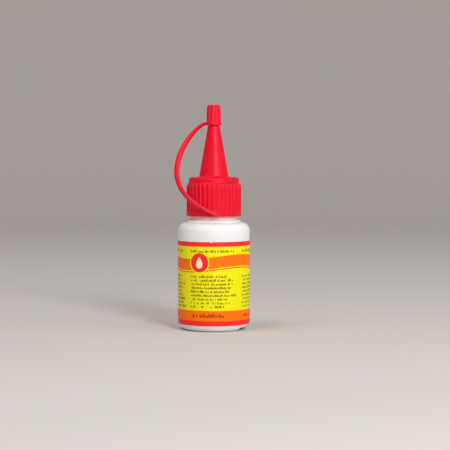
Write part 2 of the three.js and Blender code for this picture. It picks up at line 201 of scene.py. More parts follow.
def bottle_surface():
    """Points of the bottle, and how much red light is painted on each, on a grid of profile rows by
    columns.

    The rows follow the outside from the push-up to the mouth, then the bore down to the floor, and
    the columns crowd towards the parting line. A wide, flat groove lifts the base along that line
    by a rounded maximum of the two heights, a bell-shaped ridge marks it up both sides, and the
    neck's outside carries the thread. The painted red light is the cap's red light painted on the
    neck's root as a colour: it comes in by a smooth step above the shoulder, and goes out by
    another behind the cap's rim.
    """
    foot = BODY_RADIUS - HEEL_RADIUS
    step_top = BODY_HEIGHT + STEP_HEIGHT
    root_top = step_top + NECK_ROOT_HEIGHT
    thread_foot = root_top + NECK_ROOT_RADIUS - NECK_RADIUS
    bore = NECK_RADIUS - NECK_WALL
    root_bore = NECK_ROOT_RADIUS - NECK_WALL
    inside = BODY_RADIUS - BODY_WALL
    profile = rounded_profile(
        [
            (BASE_POLE_RADIUS, PUSH_UP, 0, 0.8),
            (foot - FOOT_WIDTH - PUSH_UP, PUSH_UP, 0.5, 0.3),
            (foot - FOOT_WIDTH, 0, 0.5, 0.4),
            (BODY_RADIUS, 0, HEEL_RADIUS, 3.0),
            (BODY_RADIUS, BODY_HEIGHT, SHOULDER_RADIUS, 0.9),
            (STEP_RADIUS, BODY_HEIGHT, 0.45, 0.3),
            (STEP_RADIUS, step_top - STEP_FALL, 0.5, 0.4),
            (NECK_ROOT_RADIUS, step_top, 0.35, 0.4),
            (NECK_ROOT_RADIUS, root_top, 0.4, 0.3),
            (NECK_RADIUS, thread_foot, 0.4, 0.16),
            (NECK_RADIUS, MOUTH_HEIGHT, 0.3, 0.3),
            (bore, MOUTH_HEIGHT, 0.2, 1.0),
            (bore, thread_foot, 0.4, 0.5),
            (root_bore, root_top, 0.4, 1.0),
            (root_bore, BODY_HEIGHT - BODY_WALL, 0.6, 1.0),
            (inside, BODY_HEIGHT - BODY_WALL, SHOULDER_RADIUS - BODY_WALL, 4.0),
            (inside, FLOOR_THICKNESS, HEEL_RADIUS - BODY_WALL, 1.5),
            (BASE_POLE_RADIUS, FLOOR_THICKNESS, 0, 1.0),
        ],
        closed=False,
    )
    even = np.linspace(0, math.tau, BOTTLE_COLUMNS, endpoint=False)
    turn = even - BOTTLE_CROWDING * np.sin(2 * even)
    radius, height = profile[:, :1] + 0 * turn, profile[:, 1:] + 0 * turn
    outside = (np.arange(len(profile)) <= profile[:, 1].argmax())[:, None]
    across = np.abs(radius * np.sin(turn))
    roof = groove_roof(across)
    lifted = (height + roof + np.hypot(height - roof, GROOVE_ROUNDING)) / 2
    near = 1 - smooth(GROOVE_WIDTH / 2, GROOVE_WIDTH / 2 + GROOVE_LIP, across)
    height = np.where(outside & (height < 2 * GROOVE_DEPTH), height + near * (lifted - height), height)
    azimuth = turn + PARTING_AZIMUTH
    parting = PARTING_RIDGE * np.exp(-((across / PARTING_SPREAD) ** 2)) * (radius > PARTING_INNER_RADIUS)
    thread = THREAD_DEPTH * thread_ridge(height, azimuth, THREAD_START)
    radius = radius + np.where(outside, parting + thread, 0)
    # Painted red light on the neck's root, where the cap's red light falls.
    painted_red_light = smooth(BODY_HEIGHT, step_top + PAINTED_RED_LIGHT_RISE, height) * outside
    painted_red_light = painted_red_light * (1 - smooth(root_top - PAINTED_RED_LIGHT_FADE, root_top, height))
    return round_grid(radius, height, azimuth), painted_red_light


def plug(tree, socket, value):
    """Links an output socket into an input socket, or sets the input to a plain value."""
    if isinstance(value, bpy.types.NodeSocket):
        tree.links.new(value, socket)
    else:
        socket.default_value = value


def noise(tree, vector, scale, detail):
    """Output of a noise texture that has about scale bumps a metre."""
    node = tree.nodes.new("ShaderNodeTexNoise")
    plug(tree, node.inputs["Vector"], vector)
    plug(tree, node.inputs["Scale"], scale)
    plug(tree, node.inputs["Detail"], detail)
    return node.outputs["Fac"]


def spread(tree, value, low, high):
    """Carries the middle of a noise to the range low to high."""
    node = tree.nodes.new("ShaderNodeMapRange")
    for socket, number in zip(node.inputs, (value, *NOISE_MIDDLE, low, high)):
        plug(tree, socket, number)
    return node.outputs["Result"]


def mixed(tree, share, under, over):
    """Colour that goes from under to over as share goes from 0 to 1."""
    node = tree.nodes.new("ShaderNodeMix")
    node.data_type = "RGBA"
    sockets = {socket.identifier: socket for socket in node.inputs}
    plug(tree, sockets["Factor_Float"], share)
    plug(tree, sockets["A_Color"], under)
    plug(tree, sockets["B_Color"], over)
    return next(socket for socket in node.outputs if socket.identifier == "Result_Color")


def raised(tree, height, strength, distance):
    """Normal of a surface that a height pattern lifts by up to distance, in metres."""
    node = tree.nodes.new("ShaderNodeBump")
    plug(tree, node.inputs["Strength"], strength)
    plug(tree, node.inputs["Distance"], distance)
    plug(tree, node.inputs["Height"], height)
    return node.outputs["Normal"]


def object_coordinates(tree, stretch=(1, 1, 1)):
    """Object coordinates in metres, scaled along each axis."""
    source = tree.nodes.new("ShaderNodeTexCoord")
    node = tree.nodes.new("ShaderNodeMapping")
    plug(tree, node.inputs["Vector"], source.outputs["Object"])
    plug(tree, node.inputs["Scale"], stretch)
    return node.outputs["Vector"]


def attribute(tree, name):
    """Number that is kept under a name at each vertex."""
    node = tree.nodes.new("ShaderNodeAttribute")
    node.attribute_name = name
    return node.outputs["Fac"]


def new_material(name, even):
    """New material, with its node tree and its shader, whose even values are the same all over."""
    material = bpy.data.materials.new(name)
    material.use_nodes = True
    tree = material.node_tree
    shader = tree.nodes["Principled BSDF"]
    for socket, value in even.items():
        shader.inputs[socket].default_value = value
    return material, tree, shader


def blown_polyethylene():
    """White, slightly cloudy plastic with a soft orange peel and faint upright die lines."""
    material, tree, shader = new_material(
        "blown_polyethylene",
        {"Subsurface Weight": 0.6, "Subsurface Radius": (1.0, 0.8, 0.65), "Subsurface Scale": 0.003},
    )
    place = object_coordinates(tree)
    drawn = object_coordinates(tree, stretch=(1, 1, 0.06))
    cloud = noise(tree, place, scale=90, detail=3)
    peel = noise(tree, place, scale=700, detail=2)
    lines = noise(tree, drawn, scale=900, detail=2)
    white = mixed(tree, cloud, WHITE_CLOUDED, WHITE)
    # Painted red light: the red light that the cap passes on to the neck's root, painted into the white.
    plug(tree, shader.inputs["Base Color"], mixed(tree, attribute(tree, "painted_red_light"), white, PAINTED_RED_LIGHT))
    plug(tree, shader.inputs["Roughness"], spread(tree, peel, low=0.36, high=0.48))
    lined = raised(tree, lines, strength=0.25, distance=0.00004)
    bump = raised(tree, peel, strength=0.35, distance=0.00005)
    tree.links.new(lined, bump.node.inputs["Normal"])
    plug(tree, shader.inputs["Normal"], bump)
    return material


bottle_poles = [(0, 0, groove_roof(0) * MM), (0, 0, FLOOR_THICKNESS * MM)]
bottle_points, bottle_painted_red_light = bottle_surface()
bottle = skin("blown_bottle", bottle_points, bottle_poles)
store(bottle, "painted_red_light", np.append(bottle_painted_red_light, [0, 0]))
bottle.data.materials.append(blown_polyethylene())
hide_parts("bottle_body")
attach(bottle, "bottle")

# Label: a wrap of thin plastic film, printed in red, orange and yellow, then cut to length.
# It is glued round the straight side, and its two ends stop just short of each other at the back.
label_low, label_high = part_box("wrap_label")
PHOTO_AZIMUTH = math.radians(20)
FRONT_AZIMUTH = PHOTO_AZIMUTH - math.pi / 2
LABEL_GLUE_LINE = 0.06
LABEL_THICKNESS = 0.09
LABEL_TUCK = 0.21
LABEL_BEND = 6.0
LABEL_SEAM_GAP = 1.6
LABEL_FOOT = label_low[2] / MM
LABEL_TOP = label_high[2] / MM
LABEL_HEIGHT = LABEL_TOP - LABEL_FOOT
LABEL_RADIUS = BODY_RADIUS + LABEL_GLUE_LINE + LABEL_THICKNESS
LABEL_START = PARTING_AZIMUTH - math.pi + LABEL_SEAM_GAP / 2 / BODY_RADIUS
LABEL_SWEEP = math.tau - LABEL_SEAM_GAP / BODY_RADIUS
LABEL_LENGTH = LABEL_RADIUS * LABEL_SWEEP
LABEL_STEPS = 240
YELLOW = (0.80, 0.75, 0.003, 1)
ORANGE = (0.95, 0.165, 0.001, 1)
RED = (0.86, 0.024, 0.028, 1)
INK = (0.035, 0.018, 0.010, 1)
FOOT_INK = (0.15, 0.010, 0.005, 1)
CREAM = (0.88, 0.80, 0.50, 1)
BARE_FILM = (0.82, 0.80, 0.77, 1)
TOP_STRIPE = LABEL_HEIGHT - 2.2
FOOT_STRIPE = 2.4
FOOT_BAND = 6.9
RIBBON_MIDDLE = 27.9
RIBBON_HALF = 2.5
RIBBON_SWAY = 1.0
RIBBON_PERIOD = LABEL_LENGTH / 2
UNDERLINE_TOP = RIBBON_HALF + 0.45
UNDERLINE_BOTTOM = RIBBON_HALF + 0.9
DISC_RADIUS = 4.2
DISC_RING = 0.5
DISC_ASIDE = -6.5
DROP_BOTTOM = -2.5
DROP_HEIGHT = 5.2
DROP_FULLNESS = 4.4
DROP_TAPER = 1.15
DROP_TRIM = 0.05
STROKE_LEFT = 0.14
STROKE_RIGHT = 0.8
STROKE_BLUR = 0.2
STROKE_END_BLUR = 0.12
STROKE_REACH = 1.4
STROKE_NOISE = (3.7, 7.3, 0.31)
WORD_NOISE = (0.83, 5.9, 0.4)
WORD_LIMIT = 0.41
WORD_BLUR = 0.02
PRINT_TOP = 22.6
PRINT_PITCH = 1.65
PRINT_ROWS = 9
PRINT_BASELINE = 0.4
PRINT_STROKES = (0.52, 1.15)
HEAD_LINE = 32.4
HEAD_STROKES = (0.55, 1.2)
HEAD_ROW = 2.6
HEAD_INSET = 3
FOOT_LINE = 3.9
FOOT_STROKES = (0.8, 1.7)
FOOT_ROW = 9.2
FOOT_SHARE = 0.7
INK_COVER = 0.95
FOOT_INK_COVER = 0.92
COLUMN_PITCH = LABEL_LENGTH / 4
COLUMN_MARGIN = 1.6
LINE_END_NOISE = (3.7, 5.3, 0.4)
LINE_END_SPREAD = 14
LINE_END_INSET = 10
FRAY_SCALE = 2.3
FRAY_DRAWN = 0.2
FRAY_DETAIL = 3
FRAY_DEPTH = 0.3
FRAY_START = 0.02
FRAY_BLUR = 0.06
NICK_ASIDE = -1.1
NICK_NARROWING = 1.4
NICK_SIZE = 0.2
NICK_BLUR = 0.1


def label_film():
    """Film whose thin upright section, with rounded corners, is carried round the bottle.

    The section follows the bottle's side, and its foot tucks in over the start of the heel. Its map
    named print runs from 0 to 1 along the film and from 0 to 1 up it.
    """
    inner = BODY_RADIUS + LABEL_GLUE_LINE
    section = rounded_profile(
        [
            (inner, LABEL_TOP, 0.03, 1.0),
            (LABEL_RADIUS, LABEL_TOP, 0.05, 0.9),
            (LABEL_RADIUS, HEEL_RADIUS, LABEL_BEND, 0.9),
            (LABEL_RADIUS - LABEL_TUCK, LABEL_FOOT, 0.05, 1.0),
            (inner - LABEL_TUCK, LABEL_FOOT, 0.03, 0.9),
            (inner, HEEL_RADIUS, LABEL_BEND, 6.0),
        ],
        closed=True,
    )
    share = np.linspace(0, 1, LABEL_STEPS + 1)[:, None]
    azimuth = LABEL_START + LABEL_SWEEP * share
    grid = round_grid(section[:, 0], section[:, 1] + 0 * azimuth, azimuth)
    film = skin("wrap_film", grid, [grid[0].mean(0), grid[-1].mean(0)])
    up = (section[:, 1] - LABEL_FOOT) / LABEL_HEIGHT
    chart = np.stack(np.broadcast_arrays(share, up), -1).reshape(-1, 2)
    chart = np.concatenate([chart, [[0, 0.5], [1, 0.5]]])
    corners = np.empty(len(film.data.loops), np.int32)
    film.data.loops.foreach_get("vertex_index", corners)
    film.data.uv_layers.new(name="print").data.foreach_set("uv", chart[corners].ravel())
    return film


class Field:
    """Value that varies over a surface. Arithmetic on fields adds Math nodes to the material."""

    def __init__(self, tree, socket):
        self.tree = tree
        self.socket = socket

    def math(self, operation, *values, clamp=False):
        """Result of one Math node, worked on this value and the others."""
        node = self.tree.nodes.new("ShaderNodeMath")
        node.operation = operation
        node.use_clamp = clamp
        for socket, value in zip(node.inputs, (self, *values)):
            plug(self.tree, socket, value.socket if isinstance(value, Field) else value)
        return Field(self.tree, node.outputs["Value"])

    def __add__(self, other):
        return self.math("ADD", other)

    def __sub__(self, other):
        return self.math("SUBTRACT", other)

    def __mul__(self, other):
        return self.math("MULTIPLY", other)

    def __abs__(self):
        return self.math("ABSOLUTE")

    def above(self, limit, blur=0.08):
        """1 where the value is above limit and 0 below it, with an edge that is blur wide."""
        return (self - limit).math("MULTIPLY_ADD", 1 / blur, 0.5, clamp=True)

    def below(self, limit, blur=0.08):
        """1 where the value is below limit and 0 above it, with an edge that is blur wide."""
        return (self - limit).math("MULTIPLY_ADD", -1 / blur, 0.5, clamp=True)

    def between(self, low, high, blur=0.08):
        """1 where the value lies from low to high, and 0 elsewhere."""
        return self.above(low, blur) - self.above(high, blur)

    def wrapped(self, period):
        """The value, carried by whole periods to within half a period of 0."""
        return self.math("WRAP", period / 2, -period / 2)

    def speckle(self, other, detail=0):
        """Noise over the plane of this value and another one, or along a line of it."""
        joined = self.tree.nodes.new("ShaderNodeCombineXYZ")
        plug(self.tree, joined.inputs["X"], self.socket)
        plug(self.tree, joined.inputs["Y"], other.socket if isinstance(other, Field) else other)
        return Field(self.tree, noise(self.tree, joined.outputs["Vector"], 1, detail))


def drawn_lot(cell, row, lot):
    """One number for each cell of each row: noise on a grid with the two steps and offset of lot."""
    cell_step, row_step, offset = lot
    return (cell * cell_step).speckle(row * row_step + offset)


def lay(ink, share, colour):
    """Colour with an ink over it where share is 1."""
    return mixed(share.tree, share.socket, colour, ink)


def ribbon_print(along, up):
    """Yellow film with an orange ribbon along a sine, and a thin red line under the ribbon."""
    wave = (along * (math.tau / RIBBON_PERIOD)).math("SINE")
    over = up - (wave * RIBBON_SWAY + RIBBON_MIDDLE)
    colour = lay(ORANGE, over.between(-RIBBON_HALF, RIBBON_HALF), YELLOW)
    return lay(RED, over.between(-UNDERLINE_BOTTOM, -UNDERLINE_TOP), colour)


def drop_sign(along, up, colour):
    """Red disc in a yellow ring, with a cream drop on it, once in each period of the ribbon.

    The drop's half width is the root of the share of its height times a power of the rest of it.
    """
    aside = (along - DISC_ASIDE).wrapped(RIBBON_PERIOD)
    over = up - RIBBON_MIDDLE
    away = (aside * aside + over * over).math("SQRT")
    colour = lay(YELLOW, away.below(DISC_RADIUS + DISC_RING), colour)
    colour = lay(RED, away.below(DISC_RADIUS), colour)
    rise = (over - DROP_BOTTOM).math("MULTIPLY", 1 / DROP_HEIGHT, clamp=True)
    half = rise.math("SQRT") * (rise * -1 + 1).math("POWER", DROP_TAPER) * DROP_FULLNESS
    return lay(CREAM, (half - abs(aside)).above(DROP_TRIM), colour)


def edge_stripes(up, colour):
    """Orange band and red stripe at the film's foot, and a red stripe at its top."""
    colour = lay(ORANGE, up.below(FOOT_BAND), colour)
    colour = lay(RED, up.below(FOOT_STRIPE), colour)
    return lay(RED, up.above(TOP_STRIPE), colour)


def fine_print(along, height, row, strokes):
    """Ink of a line of print too fine to read, from the pitch and height of its strokes.

    It is a row of upright strokes, one in each pitch, whose uneven heights come from noise. More
    noise leaves out some strokes, as the gaps between words.
    """
    pitch, tall = strokes
    place = along * (1 / pitch)
    cell = place.math("FLOOR")
    stroke = (place - cell).between(STROKE_LEFT, STROKE_RIGHT, STROKE_BLUR)
    reach = drawn_lot(cell, row, STROKE_NOISE) * (STROKE_REACH * tall)
    words = drawn_lot(cell, row, WORD_NOISE).above(WORD_LIMIT, WORD_BLUR)
    upright = height.above(0, STROKE_END_BLUR) * (reach - height).above(0, STROKE_END_BLUR)
    return stroke * words * upright


def lines_of_print(along, up, colour):
    """Columns of small print with uneven line ends, under a head line and over a foot line."""
    inset = along.wrapped(COLUMN_PITCH) + COLUMN_PITCH / 2
    column = (along * (1 / COLUMN_PITCH) + 0.5).math("FLOOR")
    depth = (up * -1 + PRINT_TOP) * (1 / PRINT_PITCH)
    row = depth.math("FLOOR")
    height = ((depth - row) * -1 + 1) * PRINT_PITCH - PRINT_BASELINE
    line_end = drawn_lot(row, column, LINE_END_NOISE) * LINE_END_SPREAD
    line_end = line_end + (COLUMN_PITCH - COLUMN_MARGIN - LINE_END_INSET)
    block = row.between(-0.5, PRINT_ROWS - 0.5, 0.1) * inset.above(COLUMN_MARGIN)
    block = block * (line_end - inset).above(0)
    small = fine_print(along, height, row, PRINT_STROKES) * block
    colour = lay(INK, small * INK_COVER, colour)
    head = fine_print(along, up - HEAD_LINE, HEAD_ROW, HEAD_STROKES)
    head = head * inset.between(COLUMN_MARGIN, COLUMN_PITCH - HEAD_INSET)
    colour = lay(INK, head * INK_COVER, colour)
    foot = fine_print(along, up - FOOT_LINE, FOOT_ROW, FOOT_STROKES)
    foot = foot * inset.between(COLUMN_MARGIN, COLUMN_PITCH * FOOT_SHARE)
    return lay(FOOT_INK, foot * FOOT_INK_COVER, colour)


def worn_edges(along, up, colour):
    """Bare film where noise frays the two long edges, and in one oval nick in the top edge."""
    fray = (along * FRAY_SCALE).speckle(up * FRAY_DRAWN, FRAY_DETAIL)
    edge = abs(up - LABEL_HEIGHT / 2) * -1 + LABEL_HEIGHT / 2
    colour = lay(BARE_FILM, (fray * FRAY_DEPTH - edge).above(FRAY_START, FRAY_BLUR), colour)
    aside = (along - NICK_ASIDE) * NICK_NARROWING
    nick = aside.math("POWER", 2) + (up - LABEL_HEIGHT).math("POWER", 2)
    return lay(BARE_FILM, nick.below(NICK_SIZE, NICK_BLUR), colour)


def printed_film():
    """Satin film with its print, in millimetres right of the front and up from its lower edge."""
    material, tree, shader = new_material("printed_film", {"Specular IOR Level": 0.15})
    chart = tree.nodes.new("ShaderNodeUVMap")
    chart.uv_map = "print"
    split = tree.nodes.new("ShaderNodeSeparateXYZ")
    plug(tree, split.inputs["Vector"], chart.outputs["UV"])
    along = Field(tree, split.outputs["X"]) * LABEL_LENGTH + LABEL_RADIUS * (LABEL_START - FRONT_AZIMUTH)
    up = Field(tree, split.outputs["Y"]) * LABEL_HEIGHT
    colour = drop_sign(along, up, ribbon_print(along, up))
    colour = lines_of_print(along, up, edge_stripes(up, colour))
    plug(tree, shader.inputs["Base Color"], worn_edges(along, up, colour))
    place = object_coordinates(tree)
    rub = noise(tree, place, scale=260, detail=4)
    ripple = noise(tree, place, scale=420, detail=3)
    plug(tree, shader.inputs["Roughness"], spread(tree, rub, low=0.3, high=0.44))
    plug(tree, shader.inputs["Normal"], raised(tree, ripple, strength=0.4, distance=0.00005))
    return material


label = label_film()
label.data.materials.append(printed_film())
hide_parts("wrap_label")
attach(label, "bottle")

# Glue: a thick white liquid that fills the bottle to just below its shoulder.
# It shows only when the bottle is opened or cut, and it settles level.
GLUE_WHITE = (0.90, 0.88, 0.80, 1)
GLUE_CREAM = (0.85, 0.81, 0.69, 1)


def thick_glue():
    """Creamy liquid with slow swirls and a wet surface."""
    material, tree, shader = new_material("thick_glue", {})
    swirl = noise(tree, object_coordinates(tree), scale=120, detail=2)
    plug(tree, shader.inputs["Base Color"], mixed(tree, swirl, GLUE_CREAM, GLUE_WHITE))
    plug(tree, shader.inputs["Roughness"], spread(tree, swirl, low=0.14, high=0.24))
    plug(tree, shader.inputs["Normal"], raised(tree, swirl, strength=0.2, distance=0.0002))
    return material


def repaint(node, material):
    """Gives its own material to a CAD node that keeps its shape."""
    node.data.materials.clear()
    node.data.materials.append(material)


repaint(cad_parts["glue_fill"], thick_glue())

# Seal: a washer punched from a sheet of foamed polyethylene.
# It lies in the roof of the cap, which presses it on the bottle's mouth.
FOAM_LIGHT = (0.84, 0.82, 0.78, 1)
FOAM_DARK = (0.66, 0.64, 0.60, 1)
FOAM_CELLS_PER_METRE = 4200


def sheet_foam():
    """Fine closed cells, darker and lower between their walls."""
    material, tree, shader = new_material("sheet_foam", {"Roughness": 0.75})
    cells = tree.nodes.new("ShaderNodeTexVoronoi")
    plug(tree, cells.inputs["Vector"], object_coordinates(tree))
    plug(tree, cells.inputs["Scale"], FOAM_CELLS_PER_METRE)
    from_wall = cells.outputs["Distance"]
    plug(tree, shader.inputs["Base Color"], mixed(tree, from_wall, FOAM_LIGHT, FOAM_DARK))
    plug(tree, shader.inputs["Normal"], raised(tree, from_wall, strength=0.5, distance=-0.00008))
    return material


repaint(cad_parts["seal_ring"], sheet_foam())

# Screw cap: red polyethylene, injection moulded with its cone nozzle in one shot.
# Upright ribs give the fingers a grip, and a thread inside the skirt runs on the bottle's neck.
cap_low, cap_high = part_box("nozzle_cap")
CAP_RIM = cap_low[2] / MM
SPIGOT_TOP = cap_high[2] / MM - CAP_RIM
BAND_RADIUS = 12.23
BAND_HEIGHT = 2.0
SKIRT_BORE = 10.6
SKIRT_ROOT = 11.65
SKIRT_DEPTH = 13.3
RIM_CHAMFER = 0.3
RIB_COUNT = 36
RIB_COLUMNS = 12
RIB_CROWDING = 0.6
RIB_DEPTH = 0.5
RIB_CREST = 0.45
RIB_FLANK = 0.25
RIB_TOP = 14.15
RIB_END = 0.9
RIB_WEAR_AND_HIGHLIGHT = 0.3
RIB_WEAR_AND_HIGHLIGHT_START = RIB_TOP - 1.8
RIB_WEAR_AND_HIGHLIGHT_FULL = RIB_TOP - 0.7
COLLAR_BASE = 14.85
COLLAR_TOP = 17.2
COLLAR_RADIUS = 11.0
COLLAR_DRAFT = 0.2
COLLAR_BORE = 9.2
CAP_ROOF = 15.4
NOZZLE_BASE = 6.6
NOZZLE_TIP = 2.65
NOZZLE_TOP = 40.0
NOZZLE_WALL = 1.2
SPIGOT_RADIUS = 1.9
ORIFICE_RADIUS = 0.9
CAP_RED = (0.76, 0.003, 0.020, 1)
CAP_RED_DEEP = (0.70, 0.002, 0.016, 1)
# Paler red that stands for wear and for a painted highlight on crests and edges.
CAP_RED_WEAR_AND_HIGHLIGHT = (0.86, 0.075, 0.115, 1)
CAP_SHINE = (1, 0.72, 0.88, 1)


def ribbed_turn(count, columns):
    """Azimuths round a ribbed piece, so many columns a rib, crowded by a sine on the ribs' flanks."""
    share = np.arange(count * columns) / columns
    return (share + RIB_CROWDING * np.sin(2 * math.tau * share) / (2 * math.tau)) * math.tau / count


def rib_height(azimuth, count, reach, crest, flank):
    """Height of a ring of ribs from 0 to 1: full over the crest's width, and a smooth fall over
    the flank, with the distance to the nearest rib measured along the arc at the radius reach."""
    ribs = azimuth * count / math.tau
    aside = np.abs(ribs - np.round(ribs)) * math.tau / count * reach
    return 1 - smooth(crest / 2 - flank / 4, crest / 2 + flank, aside)


def cap_surface():
    """Points of the cap, and its share of pale wear and painted highlight, on a grid of profile rows by
    columns.

    The rows follow the outside from the rim to the spigot, then the bore back down to the rim.
    Between the rim band and the shoulder the radius is the larger of the profile and the ribs,
    which fall off at the top by the square of the way to their end. A thread like the neck's, half
    a pitch away from it, stands in from the skirt's bore. The ribs' crests are paler, part wear and
    part painted highlight, most at their tops.
    """
    profile = rounded_profile(
        [
            (SKIRT_BORE + RIM_CHAMFER, 0, 0.12, 0.3),
            (BAND_RADIUS, 0, 0.25, 0.7),
            (BAND_RADIUS, BAND_HEIGHT, 0.22, 0.25),
            (SKIRT_ROOT, BAND_HEIGHT + RIB_DEPTH, 0.25, 0.9),
            (SKIRT_ROOT, RIB_TOP - RIB_END, 0, 0.1),
            (SKIRT_ROOT, RIB_TOP, 0.15, 0.2),
            (COLLAR_RADIUS + COLLAR_DRAFT, COLLAR_BASE, 0.35, 0.5),
            (COLLAR_RADIUS, COLLAR_TOP, 1.2, 0.8),
            (NOZZLE_BASE, COLLAR_TOP, 0.9, 1.4),
            (NOZZLE_TIP, NOZZLE_TOP, 0.4, 0.3),
            (SPIGOT_RADIUS, NOZZLE_TOP, 0.2, 2.0),
            (SPIGOT_RADIUS, SPIGOT_TOP, 0.35, 0.3),
            (ORIFICE_RADIUS, SPIGOT_TOP, 0.15, 2.0),
            (ORIFICE_RADIUS, NOZZLE_TOP - NOZZLE_WALL, 0.3, 0.5),
            (NOZZLE_TIP - NOZZLE_WALL, NOZZLE_TOP - 2 * NOZZLE_WALL, 0.4, 5.0),
            (NOZZLE_BASE - NOZZLE_WALL, CAP_ROOF, 0.5, 1.0),
            (COLLAR_BORE, CAP_ROOF, 0.5, 0.8),
            (COLLAR_BORE, SKIRT_DEPTH, 0.2, 0.5),
            (SKIRT_BORE, SKIRT_DEPTH, 0.3, 0.3),
            (SKIRT_BORE, RIM_CHAMFER, 0.1, 0.3),
        ],
        closed=True,
    )
    azimuth = ribbed_turn(RIB_COUNT, RIB_COLUMNS)
    radius, height = profile[:, :1] + 0 * azimuth, profile[:, 1:] + 0 * azimuth
    outside = (np.arange(len(profile)) <= profile[:, 1].argmax())[:, None]
    ribs = rib_height(azimuth, RIB_COUNT, BAND_RADIUS, RIB_CREST, RIB_FLANK)
    ribs = ribs * (height > BAND_HEIGHT / 2) * (1 - np.clip(1 - (RIB_TOP - height) / RIB_END, 0, 1) ** 2)
    ribbed = np.maximum(radius, np.minimum(radius, SKIRT_ROOT) + RIB_DEPTH * ribs)
    ridge = thread_ridge(height + CAP_RIM, azimuth, THREAD_START + THREAD_PITCH / 2)
    radius = np.where(outside, ribbed, radius - THREAD_DEPTH * ridge)
    # Pale wear and painted highlight on the ribs, most at their tops.
    wear_and_highlight = RIB_WEAR_AND_HIGHLIGHT + (1 - RIB_WEAR_AND_HIGHLIGHT) * smooth(RIB_WEAR_AND_HIGHLIGHT_START, RIB_WEAR_AND_HIGHLIGHT_FULL, height)
    return round_grid(radius, height + CAP_RIM, azimuth), wear_and_highlight * ribs * outside


def moulded_red():
    """Satin red plastic with a fine spark grain and slow flow clouds, paler with wear and a painted
    highlight.
    """
    material, tree, shader = new_material(
        "moulded_red",
        {
            "Specular IOR Level": 0.22,
            "Specular Tint": CAP_SHINE,
            "Subsurface Weight": 0.3,
            "Subsurface Radius": (1.0, 0.1, 0.12),
            "Subsurface Scale": 0.0012,
        },
    )
    place = object_coordinates(tree)
    cloud = noise(tree, place, scale=130, detail=3)
    grain = noise(tree, place, scale=2600, detail=2)
    # Paler red where the ribs, flutes, crown and strap carry wear and a painted highlight.
    wear_and_highlight_share = Field(tree, attribute(tree, "wear_and_highlight")) * Field(tree, spread(tree, cloud, low=0.3, high=0.75))
    red = mixed(tree, cloud, CAP_RED_DEEP, CAP_RED)
    plug(tree, shader.inputs["Base Color"], lay(CAP_RED_WEAR_AND_HIGHLIGHT, wear_and_highlight_share, red))
    plug(tree, shader.inputs["Roughness"], spread(tree, cloud, low=0.37, high=0.49))
    plug(tree, shader.inputs["Normal"], raised(tree, grain, strength=0.3, distance=0.00003))
    return material


cap_points, cap_wear_and_highlight = cap_surface()
cap = skin("ribbed_cap", cap_points)
store(cap, "wear_and_highlight", cap_wear_and_highlight)
closure_red = moulded_red()
cap.data.materials.append(closure_red)
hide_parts("nozzle_cap")
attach(cap, "closure")

# Tip cap: moulded with the screw cap, which it hangs on by the strap.
# Its flutes give a grip, its socket goes over the spigot, and a pin in it plugs the orifice.
tip_low, tip_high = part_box("tip_cap")
TIP_RIM = tip_low[2] / MM
TIP_HEIGHT = tip_high[2] / MM - TIP_RIM
TIP_CLOCKING = math.radians(9)
TIP_BAND_RADIUS = 3.3
TIP_BAND_HEIGHT = 1.3
TIP_ROOT = 2.85
TIP_TAPER = 0.2
TIP_TAPER_HEIGHT = 4.0
TIP_POLE_RADIUS = 0.15
RIM_DROP = 0.2
FLUTE_COUNT = 10
FLUTE_COLUMNS = 16
FLUTE_DEPTH = 0.35
FLUTE_CREST = 0.9
FLUTE_FLANK = 0.25
FLUTE_FALL_START = TIP_HEIGHT - 0.9
FLUTE_FALL_END = TIP_HEIGHT - 0.15
FLUTE_WEAR_AND_HIGHLIGHT = 0.3
CROWN_WEAR_AND_HIGHLIGHT = 0.7
CROWN_WEAR_AND_HIGHLIGHT_START = TIP_HEIGHT - 0.8
CROWN_WEAR_AND_HIGHLIGHT_FULL = TIP_HEIGHT - 0.1
SOCKET_RADIUS = 2.2
SOCKET_DEPTH = 7.1
PIN_RADIUS = 0.6
PIN_END = 4.3


